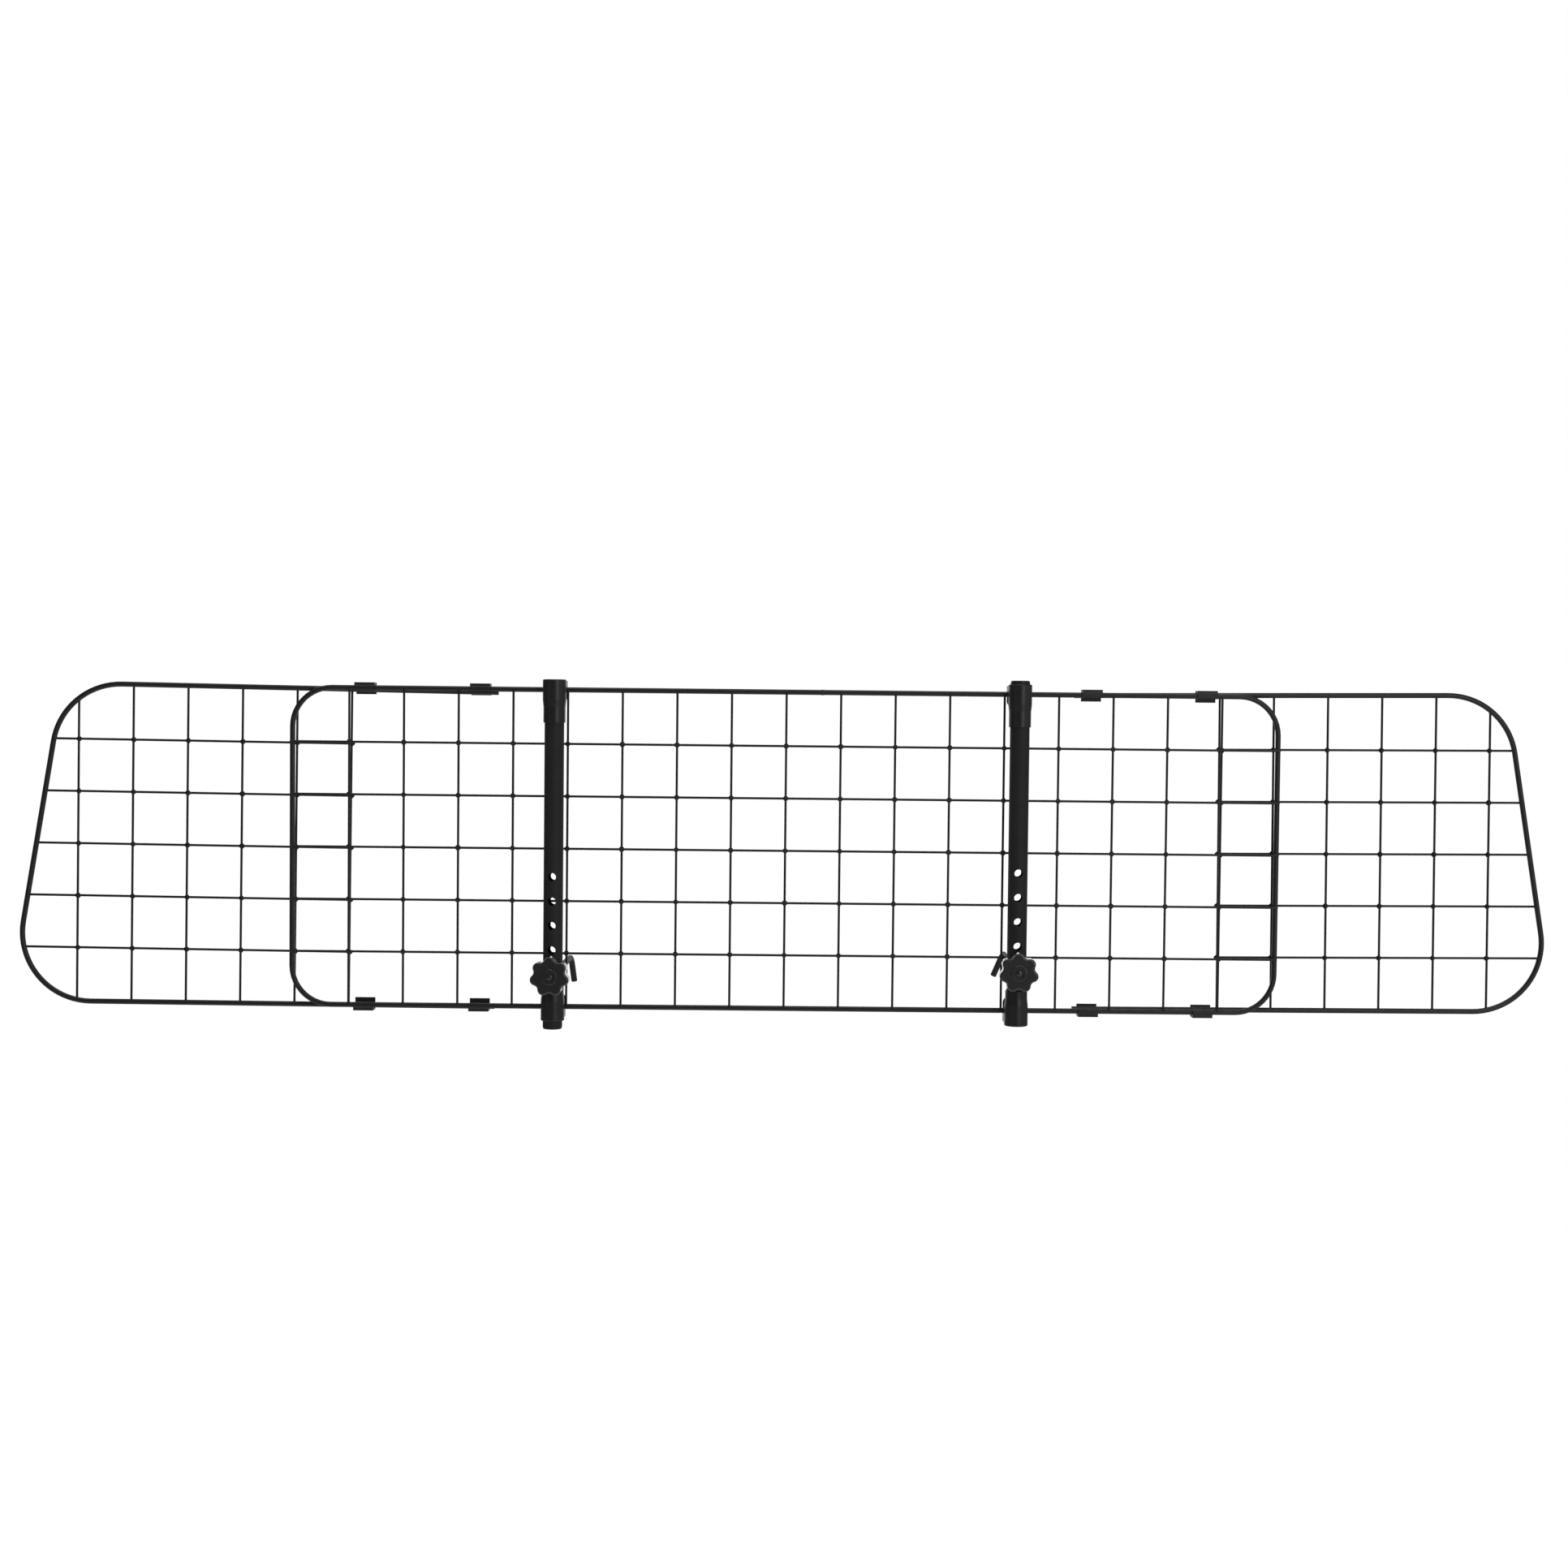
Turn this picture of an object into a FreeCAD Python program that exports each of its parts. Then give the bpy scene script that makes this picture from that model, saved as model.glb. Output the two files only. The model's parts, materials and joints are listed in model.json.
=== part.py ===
import FreeCAD, Part
import math
import os

os.makedirs("parts", exist_ok=True)

Vector = FreeCAD.Vector
ALONG_Y = Vector(0, 1, 0)
ALONG_Z = Vector(0, 0, 1)

# Wire mesh dog guard that hooks to the head rest rods of a car seat, in millimetres.
# The origin is the middle of the centre panel, in the plane of its frame rod.
# The front faces minus Y, plus X is to the right as seen from the front, and plus Z is up.

# Driving dimensions of the rods and the wire
overall_width = 1450.0
centre_width = 938.0
panel_height = 305.5
frame_rod_d = 5.0
mesh_wire_d = 2.2
centre_corner_r = 37.0
side_corner_r = 65.0
side_lean_angle = 9.05
side_rail_end_x = 274.0
side_rail_spread = 0.8
side_rail_pinch = 1.7
side_mesh_drop = 0.8

# How each side panel hangs in its clips: its tilt, outer end up, and its lift at the rails' inner ends
left_side_tilt = 0.45
left_side_lift = -2.2
right_side_tilt = 0.35
right_side_lift = 0.5

# Mesh pitch and counts
cell_width = 51.6
cell_height = 49.6
centre_upright_count = 17
crosswire_count = 5
wire_overhang = 1.4

# Clearances and weld depth
slide_gap = 0.3
fit_gap = 0.05
weld_depth = 0.05
cut_overrun = 2.0

# Clips that hold the side rails against the centre rails
clip_length = 19.0
clip_wall = 1.4
clip_fin_height = 2.7
clip_fin_inset = 1.1
clip_front_drop = 2.6
clip_back_drop = 6.0
guide_clip_headroom = 1.6
guide_clip_inset = 70.5
end_clip_inset = 15.5

# Posts, as the distance of each from the middle of the guard
left_post_x = -218.0
right_post_x = 219.6
tube_d = 18.4
tube_wall = 1.2
left_tube_poke = 5.8
right_tube_poke = 1.5
tube_hole_d = 7.8
tube_hole_pitch = 23.0
tube_hole_count = 5
left_first_hole_height = 32.7
right_first_hole_height = 40.2

# How far each tube is turned in its fittings, with its rear holes to the right
left_tube_turn = 5.0
right_tube_turn = 1.0

# Fittings that carry the posts on the rails
fitting_wide_d = 22.3
fitting_narrow_d = 20.8
fitting_wide_length = 19.0
fitting_taper_length = 7.0
top_fitting_reach_in = 31.0
bottom_fitting_reach_in = 21.0
fitting_cap = 3.0
fitting_rim_r = 1.2
fitting_hook_width = 20.0
fitting_hook_thickness = 3.5
fitting_hook_depth = 11.5
fitting_hook_corner_r = 5.0
left_closed_overhang = 9.6
left_open_overhang = 11.3
right_closed_overhang = 12.3
right_open_overhang = 9.3

# Plug in the open end of each post
plug_rim_d = 17.9
plug_rim_thickness = 2.0
plug_rim_r = 1.0
plug_stem_length = 9.0
plug_stem_wall = 1.6

# Star knob
knob_d = 37.0
knob_lobe_count = 7
knob_lobe_r = 5.2
knob_valley_r = 4.5
knob_depth = 14.0
knob_edge_r = 1.8
knob_hub_d = 22.0
knob_hub_length = 4.0
knob_boss_d = 15.0
knob_boss_height = 1.0
knob_boss_edge_r = 0.6
knob_dish_d = 9.0
knob_dish_depth = 0.8

# Threaded insert moulded into the knob
insert_d = 10.0
insert_length = 16.5
insert_floor = 1.0
insert_collar_d = 12.0
insert_collar_length = 2.0

# Hook bolt
bolt_d = 6.0
bolt_engagement = 11.0
bolt_bend_r = 9.0
bolt_leg_y = 128.0
bolt_leg_length = 25.0
bolt_tip_chamfer = 0.8

# How each bolt hangs in its loose holes: its leg's slant, and its turn to the right of straight back
left_bolt_slant = 8.0
left_bolt_turn = 1.9
right_bolt_slant = -23.0
right_bolt_turn = 1.0

# Sizes worked out from the driving dimensions
frame_rod_r = frame_rod_d / 2
wire_r = mesh_wire_d / 2
tube_r = tube_d / 2
centre_half_width = (centre_width - frame_rod_d) / 2
centre_half_height = (panel_height - frame_rod_d) / 2
side_half_height = centre_half_height + side_rail_spread
side_frame_y = frame_rod_d + slide_gap
side_outer_x = overall_width / 2 - frame_rod_r
innermost_side_upright_x = (centre_upright_count - 1) / 2 * cell_width
guide_clip_x = centre_width / 2 - guide_clip_inset
end_clip_x = side_rail_end_x + end_clip_inset

# The mesh is welded on the front of the centre frame and on the back of the side frames.
crosswire_offset = frame_rod_r + wire_r - weld_depth
upright_offset = crosswire_offset - mesh_wire_d + weld_depth
centre_crosswire_y = -crosswire_offset
centre_upright_y = -upright_offset
side_crosswire_y = side_frame_y + crosswire_offset
side_upright_y = side_frame_y + upright_offset

# The posts clear the crosswires, and each fitting rides on the rails.
tube_y = centre_crosswire_y - wire_r - slide_gap - tube_r
hook_front_y = side_frame_y + frame_rod_r + slide_gap
hook_back_y = hook_front_y + fitting_hook_thickness
hook_seat_height = centre_half_height + frame_rod_r + slide_gap

# The knob stands on the front of the tube.
knob_seat_y = tube_y - tube_r - slide_gap
knob_back_y = knob_seat_y - knob_hub_length
knob_front_y = knob_back_y - knob_depth

# Where the axis of a side frame's corner bends lies, from the middle of the guard
bend_centre_height = side_half_height - side_corner_r
lower_bend_centre_x = side_outer_x - side_corner_r
lean = math.radians(side_lean_angle)
upper_bend_centre_x = lower_bend_centre_x - 2 * bend_centre_height * math.tan(lean)
lean_tangent_height = side_corner_r * math.sin(lean)

# Where the lines of the rails and of the leaning side meet
lean_run = side_corner_r / math.cos(lean)
rise_to_rail = side_corner_r * math.tan(lean)
lower_corner_x = lower_bend_centre_x + lean_run + rise_to_rail
upper_corner_x = upper_bend_centre_x + lean_run - rise_to_rail

# A side panel has as many uprights as fit between the first one and its upper corner.
upper_corner_reach = upper_bend_centre_x + side_corner_r * math.cos(lean)
side_upright_count = 1 + int((upper_corner_reach - innermost_side_upright_x) / cell_width)


def cylinder(start, end, radius):
    """A round bar between two points."""
    return Part.makeCylinder(radius, (end - start).Length, start, end - start)


def block(low, high):
    """A box between two opposite corners."""
    size = high - low
    return Part.makeBox(size.x, size.y, size.z, low)


def disc(centre, normal, radius):
    """A round face."""
    return Part.Face(Part.Wire(Part.Circle(centre, normal, radius).toShape()))


def joined(shapes):
    """One solid out of shapes that touch or overlap."""
    result = shapes[0].multiFuse(shapes[1:]).removeSplitter()
    return result.Solids[0]


def toward(start, end):
    """The unit direction from one point to another."""
    direction = end - start
    direction.normalize()
    return direction


def bent_rod(corners, bend_r, rod_r, closed=False):
    """A round rod along a line through the corners, bent with one radius at each corner."""
    count = len(corners)
    bends = []
    pieces = []
    for place, corner in enumerate(corners):
        if not closed and place in (0, count - 1):
            bends.append((corner, corner))
            continue
        back = toward(corner, corners[place - 1])
        onward = toward(corner, corners[(place + 1) % count])
        half_angle = back.getAngle(onward) / 2
        setback = bend_r / math.tan(half_angle)
        inward = toward(Vector(), back + onward)
        centre = corner + inward * (bend_r / math.sin(half_angle))
        start = corner + back * setback
        turn = 180 - 2 * math.degrees(half_angle)
        profile = disc(start, back, rod_r)
        pieces.append(profile.revolve(centre, onward.cross(back), turn))
        bends.append((start, corner + onward * setback))
    for place in range(count if closed else count - 1):
        leaves = bends[place][1]
        arrives = bends[(place + 1) % count][0]
        pieces.append(cylinder(leaves, arrives, rod_r))
    return joined(pieces)


def centred_places(count, pitch):
    """Places of evenly pitched items about zero."""
    return [(item - (count - 1) / 2) * pitch for item in range(count)]


def trimmed(wires, frame):
    """Wires cut to a saddle where they run into the frame rod."""
    return Part.Compound([wire.cut(frame).Solids[0] for wire in wires])


def save(shape, name):
    """Write one piece, or one group of like pieces."""
    shape.exportStep("parts/" + name + ".step")


# Centre panel
def make_centre_frame():
    """The closed loop of rod round the centre panel."""
    corners = [
        Vector(-centre_half_width, 0, -centre_half_height),
        Vector(centre_half_width, 0, -centre_half_height),
        Vector(centre_half_width, 0, centre_half_height),
        Vector(-centre_half_width, 0, centre_half_height),
    ]
    return bent_rod(corners, centre_corner_r, frame_rod_r, closed=True)


def make_centre_uprights(frame):
    """The upright wires, each butted against the top and bottom rails."""
    wires = []
    for x in centred_places(centre_upright_count, cell_width):
        foot = Vector(x, centre_upright_y, -centre_half_height)
        head = Vector(x, centre_upright_y, centre_half_height)
        wires.append(cylinder(foot, head, wire_r))
    return trimmed(wires, frame)


def make_centre_crosswires():
    """The level wires, laid over the uprights and the two end rods."""
    reach = centre_half_width + wire_overhang
    wires = []
    for z in centred_places(crosswire_count, cell_height):
        start = Vector(-reach, centre_crosswire_y, z)
        end = Vector(reach, centre_crosswire_y, z)
        wires.append(cylinder(start, end, wire_r))
    return Part.Compound(wires)


# Side panels, where side is -1 for the left and 1 for the right
def make_side_frame(side, lift):
    """The rod round three sides of a side panel, with its two rails running inward and a little together."""
    end_height = side_half_height - side_rail_pinch
    corners = [
        Vector(side * side_rail_end_x, side_frame_y, lift + end_height),
        Vector(side * upper_corner_x, side_frame_y, lift + side_half_height),
        Vector(side * lower_corner_x, side_frame_y, lift - side_half_height),
        Vector(side * side_rail_end_x, side_frame_y, lift - end_height),
    ]
    return bent_rod(corners, side_corner_r, frame_rod_r)


def side_rod_height(x, bend_centre_x, corner_x):
    """About how far above or below the panel's middle the rod is at a distance from the guard's middle."""
    past = max(0, x - bend_centre_x)
    pinch = side_rail_pinch * (corner_x - x) / (corner_x - side_rail_end_x)
    return bend_centre_height + math.sqrt(side_corner_r ** 2 - past ** 2) - pinch


def side_rod_reach(z):
    """How far out the rod's axis is at a height above the panel's middle."""
    if z > bend_centre_height + lean_tangent_height:
        past = z - bend_centre_height
        return upper_bend_centre_x + math.sqrt(side_corner_r ** 2 - past ** 2)
    if z < lean_tangent_height - bend_centre_height:
        past = z + bend_centre_height
        return lower_bend_centre_x + math.sqrt(side_corner_r ** 2 - past ** 2)
    rise = z + bend_centre_height
    return lower_bend_centre_x + (side_corner_r - rise * math.sin(lean)) / math.cos(lean)


def make_side_uprights(side, lift, frame):
    """The upright wires of a side panel, butted against its rod."""
    wires = []
    for item in range(side_upright_count):
        x = innermost_side_upright_x + item * cell_width
        low = lift - side_rod_height(x, lower_bend_centre_x, lower_corner_x)
        high = lift + side_rod_height(x, upper_bend_centre_x, upper_corner_x)
        foot = Vector(side * x, side_upright_y, low)
        head = Vector(side * x, side_upright_y, high)
        wires.append(cylinder(foot, head, wire_r))
    return trimmed(wires, frame)


def make_side_crosswires(side, lift):
    """The level wires of a side panel, laid over the back of its uprights and its leaning rod."""
    start_x = innermost_side_upright_x - wire_r - wire_overhang
    wires = []
    for place in centred_places(crosswire_count, cell_height):
        z = place - side_mesh_drop
        start = Vector(side * start_x, side_crosswire_y, lift + z)
        end = Vector(side * (side_rod_reach(z) + wire_overhang), side_crosswire_y, lift + z)
        wires.append(cylinder(start, end, wire_r))
    return Part.Compound(wires)


def tilted(shape, side, lift, tilt):
    """A shape of a side panel, turned about the inner end of its rails with the outer end up."""
    result = shape.copy()
    result.rotate(Vector(side * side_rail_end_x, side_frame_y, lift), ALONG_Y, -side * tilt)
    return result


# Clips, where end is 1 for the top rail and -1 for the bottom rail
def make_clip(x, end, front_gap, back_gap, headroom, rods):
    """A clip open toward the mesh that straddles a centre rail and the side rail behind it."""
    hold_r = frame_rod_r + front_gap
    outer_r = frame_rod_r + slide_gap + clip_wall
    back_inner_y = side_frame_y + frame_rod_r + back_gap
    back_outer_y = side_frame_y + outer_r
    start_x = x - clip_length / 2
    end_x = x + clip_length / 2
    rail_z = centre_half_height
    fin_z = rail_z + frame_rod_r + clip_fin_height
    foot_z = rail_z - clip_back_drop

    front_round = cylinder(Vector(start_x, 0, rail_z), Vector(end_x, 0, rail_z), outer_r)
    body = block(Vector(start_x, 0, foot_z), Vector(end_x, back_outer_y, rail_z + outer_r))
    fin_low = Vector(start_x, clip_fin_inset - outer_r, rail_z)
    fin_high = Vector(end_x, back_outer_y, fin_z)
    clip = joined([front_round, body, block(fin_low, fin_high)])

    over_start = start_x - cut_overrun
    over_end = end_x + cut_overrun
    hold = cylinder(Vector(over_start, 0, rail_z), Vector(over_end, 0, rail_z), hold_r)
    slot_low = Vector(over_start, 0, foot_z - cut_overrun)
    slot_high = Vector(over_end, back_inner_y, rail_z + hold_r)
    room_low = Vector(over_start, side_frame_y - frame_rod_r - slide_gap, rail_z)
    room_high = Vector(over_end, back_inner_y, rail_z + hold_r + headroom)
    mouth_low = Vector(over_start, -hold_r, foot_z - cut_overrun)
    mouth_high = Vector(over_end, 0, rail_z)
    front_end_low = Vector(over_start, -outer_r - cut_overrun, foot_z - cut_overrun)
    front_end_high = Vector(over_end, 0, rail_z - clip_front_drop)
    clip = clip.cut(joined([hold, block(slot_low, slot_high), block(mouth_low, mouth_high)]))
    clip = clip.cut(block(room_low, room_high))
    clip = clip.cut(block(front_end_low, front_end_high))
    if end < 0:
        clip = clip.mirror(Vector(), ALONG_Z)
    for rod in rods:
        clip = clip.cut(rod)
    return clip.Solids[0]


# Posts
def make_tube(x, bottom_z, top_z, first_hole_z):
    """A post's tube with the row of holes for the hook bolt through both walls."""
    tube = cylinder(Vector(x, tube_y, bottom_z), Vector(x, tube_y, top_z), tube_r)
    inside_start = Vector(x, tube_y, bottom_z - cut_overrun)
    inside_end = Vector(x, tube_y, top_z + cut_overrun)
    tube = tube.cut(cylinder(inside_start, inside_end, tube_r - tube_wall))
    for item in range(tube_hole_count):
        z = first_hole_z + item * tube_hole_pitch
        start = Vector(x, tube_y - tube_r - cut_overrun, z)
        end = Vector(x, tube_y + tube_r + cut_overrun, z)
        tube = tube.cut(cylinder(start, end, tube_hole_d / 2))
    return tube.Solids[0]


def fitting_hook(x, top_z):
    """The web over the rails and the leg behind them."""
    half_width = fitting_hook_width / 2
    foot_z = centre_half_height - fitting_hook_depth
    web_low = Vector(x - half_width, tube_y, hook_seat_height)
    web = block(web_low, Vector(x + half_width, hook_back_y, top_z))
    leg_low = Vector(x - half_width, hook_front_y, foot_z)
    leg = block(leg_low, Vector(x + half_width, hook_back_y, top_z))
    corners = []
    for edge in leg.Edges:
        level = abs(edge.BoundBox.ZMax - foot_z) < slide_gap
        if level and edge.BoundBox.XLength < slide_gap:
            corners.append(edge)
    return [web, leg.makeFillet(fitting_hook_corner_r, corners)]


def make_fitting(x, end, overhang, closed):
    """A post fitting: a tapered sleeve on the tube, with a hook over both rails."""
    outer_z = centre_half_height + overhang
    wide_end_z = outer_z - fitting_wide_length
    narrow_end_z = wide_end_z - fitting_taper_length
    reach_in = top_fitting_reach_in if end > 0 else bottom_fitting_reach_in
    inner_z = centre_half_height - reach_in
    wide_r = fitting_wide_d / 2
    narrow_r = fitting_narrow_d / 2
    axis = Vector(x, tube_y, 0)
    wide = cylinder(axis + ALONG_Z * wide_end_z, axis + ALONG_Z * outer_z, wide_r)
    rim = [edge for edge in wide.Edges if abs(edge.BoundBox.ZMin - outer_z) < fit_gap]
    wide = wide.makeFillet(fitting_rim_r, rim)
    taper = Part.makeCone(narrow_r, wide_r, fitting_taper_length, axis + ALONG_Z * narrow_end_z)
    narrow = cylinder(axis + ALONG_Z * inner_z, axis + ALONG_Z * narrow_end_z, narrow_r)
    hook = fitting_hook(x, outer_z - fitting_rim_r)
    fitting = joined([wide, taper, narrow] + hook)
    bore_end_z = outer_z - fitting_cap if closed else outer_z + cut_overrun
    bore_start = axis + ALONG_Z * (inner_z - cut_overrun)
    fitting = fitting.cut(cylinder(bore_start, axis + ALONG_Z * bore_end_z, tube_r + fit_gap))
    if end < 0:
        fitting = fitting.mirror(Vector(), ALONG_Z)
    return fitting.Solids[0]


def make_plug(x, end, tube_end_z):
    """The plug in the open end of a tube, with its rim on the tube's edge."""
    outward = ALONG_Z * end
    seat = Vector(x, tube_y, tube_end_z)
    face = seat + outward * plug_rim_thickness
    rim = cylinder(seat, face, plug_rim_d / 2)
    edge = [edge for edge in rim.Edges if abs(edge.BoundBox.ZMin - face.z) < fit_gap]
    rim = rim.makeFillet(plug_rim_r, edge)
    stem_r = tube_r - tube_wall - fit_gap
    foot = seat - outward * plug_stem_length
    plug = joined([rim, cylinder(foot, seat, stem_r)])
    hollow = cylinder(foot - outward * cut_overrun, seat, stem_r - plug_stem_wall)
    return plug.cut(hollow).Solids[0]


# Knobs
def star_outline(y, x, z):
    """The lobed outline of the knob, drawn with tangent arcs about its axis."""
    spacing = 2 * math.pi / knob_lobe_count
    half = spacing / 2
    lobe_at = knob_d / 2 - knob_lobe_r
    reach = knob_lobe_r + knob_valley_r
    valley_at = lobe_at * math.cos(half) + math.sqrt(reach ** 2 - (lobe_at * math.sin(half)) ** 2)
    tangent_share = knob_lobe_r / reach

    def place(distance, angle):
        return Vector(x + distance * math.sin(angle), y, z + distance * math.cos(angle))

    arcs = []
    for lobe in range(knob_lobe_count):
        angle = lobe * spacing
        lobe_centre = place(lobe_at, angle)
        before = place(valley_at, angle - half)
        after = place(valley_at, angle + half)
        arrives = lobe_centre + (before - lobe_centre) * tangent_share
        leaves = lobe_centre + (after - lobe_centre) * tangent_share
        next_centre = place(lobe_at, angle + spacing)
        next_arrives = next_centre + (after - next_centre) * tangent_share
        arcs.append(Part.Arc(arrives, place(knob_d / 2, angle), leaves).toShape())
        floor = place(valley_at - knob_valley_r, angle + half)
        arcs.append(Part.Arc(leaves, floor, next_arrives).toShape())
    return Part.Wire(arcs)


def make_knob(x, z):
    """A star knob with a hub behind it, a low boss in front and a pocket for its insert."""
    face = Part.Face(star_outline(knob_back_y, x, z))
    star = face.extrude(ALONG_Y * -knob_depth)
    rims = []
    for edge in star.Edges:
        if edge.BoundBox.YLength < fit_gap:
            rims.append(edge)
    star = star.makeFillet(knob_edge_r, rims)
    axis = Vector(x, 0, z)
    hub = cylinder(axis + ALONG_Y * knob_seat_y, axis + ALONG_Y * knob_back_y, knob_hub_d / 2)
    boss_face_y = knob_front_y - knob_boss_height
    boss = cylinder(axis + ALONG_Y * knob_front_y, axis + ALONG_Y * boss_face_y, knob_boss_d / 2)
    boss_rim = [edge for edge in boss.Edges if abs(edge.BoundBox.YMin - boss_face_y) < fit_gap]
    boss = boss.makeFillet(knob_boss_edge_r, [edge for edge in boss_rim if edge.BoundBox.YLength < fit_gap])
    knob = joined([star, hub, boss])
    dish_start = axis + ALONG_Y * (boss_face_y - cut_overrun)
    dish_end = axis + ALONG_Y * (boss_face_y + knob_dish_depth)
    knob = knob.cut(cylinder(dish_start, dish_end, knob_dish_d / 2))
    return knob.cut(insert_body(x, z)).Solids[0]


def insert_body(x, z):
    """The outside of the threaded insert: a barrel with a collar that keeps it in the knob."""
    axis = Vector(x, 0, z)
    front_y = knob_seat_y - insert_length
    barrel = cylinder(axis + ALONG_Y * knob_seat_y, axis + ALONG_Y * front_y, insert_d / 2)
    collar_end_y = front_y + insert_collar_length
    collar = cylinder(axis + ALONG_Y * front_y, axis + ALONG_Y * collar_end_y, insert_collar_d / 2)
    return joined([barrel, collar])


def make_insert(x, z):
    """The insert with its blind hole, open toward the post."""
    axis = Vector(x, 0, z)
    floor_y = knob_seat_y - insert_length + insert_floor
    hole_start = axis + ALONG_Y * (knob_seat_y + cut_overrun)
    hole = cylinder(hole_start, axis + ALONG_Y * floor_y, bolt_d / 2 + fit_gap)
    return insert_body(x, z).cut(hole).Solids[0]


# Hook bolts
def make_hook_bolt(x, z, slant):
    """A round bolt that runs back through the post and the mesh and turns down at its end."""
    tilt = math.radians(slant)
    leg_direction = Vector(math.sin(tilt), 0, -math.cos(tilt))
    front = Vector(x, knob_seat_y - bolt_engagement, z)
    corner = Vector(x, bolt_leg_y, z)
    tip = corner + leg_direction * bolt_leg_length
    bolt = bent_rod([front, corner, tip], bolt_bend_r, bolt_d / 2)
    ends = []
    for edge in bolt.Edges:
        if edge.Closed and (edge.CenterOfMass - front).Length < bolt_tip_chamfer:
            ends.append(edge)
        if edge.Closed and (edge.CenterOfMass - tip).Length < bolt_tip_chamfer:
            ends.append(edge)
    return bolt.makeChamfer(bolt_tip_chamfer, ends)


def hung(shape, x, turn):
    """A shape turned about the post's axis, with its back to the right."""
    result = shape.copy()
    result.rotate(Vector(x, tube_y, 0), ALONG_Z, -turn)
    return result


# Build and save the centre panel
centre_frame = make_centre_frame()
save(centre_frame, "centre_frame")
save(make_centre_uprights(centre_frame), "centre_uprights")
save(make_centre_crosswires(), "centre_crosswires")

# Build and save what each side holds
side_panels = (
    ("left", -1, left_side_lift, left_side_tilt),
    ("right", 1, right_side_lift, right_side_tilt),
)
for side_name, side, lift, tilt in side_panels:
    level_frame = make_side_frame(side, lift)
    side_frame = tilted(level_frame, side, lift, tilt)
    save(side_frame, side_name + "_frame")
    uprights = make_side_uprights(side, lift, level_frame)
    save(tilted(uprights, side, lift, tilt), side_name + "_uprights")
    crosswires = make_side_crosswires(side, lift)
    save(tilted(crosswires, side, lift, tilt), side_name + "_crosswires")
    for end_name, end in (("top", 1), ("bottom", -1)):
        guide_clip = make_clip(side * guide_clip_x, end, 0, slide_gap, guide_clip_headroom, [centre_frame])
        save(guide_clip, side_name + "_guide_clip_" + end_name)
        end_clip = make_clip(side * end_clip_x, end, slide_gap, 0, 0, [side_frame])
        save(end_clip, side_name + "_end_clip_" + end_name)

# Build and save the posts, whose open end is at the bottom on the left and at the top on the right
posts = (
    ("left", left_post_x, -1, left_closed_overhang, left_open_overhang, left_tube_poke, left_tube_turn),
    ("right", right_post_x, 1, right_closed_overhang, right_open_overhang, right_tube_poke, right_tube_turn),
)
bolts = {
    "left": (left_first_hole_height, left_bolt_slant, left_bolt_turn),
    "right": (right_first_hole_height, right_bolt_slant, right_bolt_turn),
}
for side_name, x, open_end, closed_overhang, open_overhang, poke, tube_turn in posts:
    closed_end_z = -open_end * (centre_half_height + closed_overhang - fitting_cap)
    open_end_z = open_end * (centre_half_height + open_overhang + poke)
    hole_height, slant, turn = bolts[side_name]
    hole_z = hole_height - centre_half_height
    bottom_z = min(closed_end_z, open_end_z)
    top_z = max(closed_end_z, open_end_z)
    tube = make_tube(x, bottom_z, top_z, hole_z)
    save(hung(tube, x, tube_turn), side_name + "_post_tube")
    closed_fitting = make_fitting(x, -open_end, closed_overhang, True)
    open_fitting = make_fitting(x, open_end, open_overhang, False)
    fittings = {-open_end: closed_fitting, open_end: open_fitting}
    save(fittings[1], side_name + "_top_fitting")
    save(fittings[-1], side_name + "_bottom_fitting")
    save(make_plug(x, open_end, open_end_z), side_name + "_tube_plug")
    save(hung(make_knob(x, hole_z), x, turn), side_name + "_knob")
    save(hung(make_insert(x, hole_z), x, turn), side_name + "_knob_insert")
    save(hung(make_hook_bolt(x, hole_z, slant), x, turn), side_name + "_hook_bolt")
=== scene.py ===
import json
import math
import random

import bpy
from mathutils import Matrix, Vector
from mathutils.geometry import intersect_line_line


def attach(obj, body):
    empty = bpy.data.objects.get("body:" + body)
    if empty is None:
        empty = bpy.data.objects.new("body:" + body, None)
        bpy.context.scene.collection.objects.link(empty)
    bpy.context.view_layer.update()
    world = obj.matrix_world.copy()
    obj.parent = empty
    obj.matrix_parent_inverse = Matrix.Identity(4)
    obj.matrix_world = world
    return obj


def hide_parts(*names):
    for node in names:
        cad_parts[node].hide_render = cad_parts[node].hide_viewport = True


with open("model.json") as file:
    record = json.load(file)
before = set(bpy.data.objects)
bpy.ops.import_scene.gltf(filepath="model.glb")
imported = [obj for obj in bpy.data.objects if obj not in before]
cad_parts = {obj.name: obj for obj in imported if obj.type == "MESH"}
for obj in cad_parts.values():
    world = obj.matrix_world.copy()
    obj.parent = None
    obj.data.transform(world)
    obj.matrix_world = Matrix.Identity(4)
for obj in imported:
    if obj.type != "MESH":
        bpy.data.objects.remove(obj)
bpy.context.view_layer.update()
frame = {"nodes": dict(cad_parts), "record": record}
nodes = frame["nodes"]
record = frame["record"]
joints = {joint["name"]: joint for joint in record["behaviour"]["joints"]}
mounts = {mount["name"]: mount for mount in record["mounts"]}

MM = 0.001
SIDES = {"left": -1, "right": 1}

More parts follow.
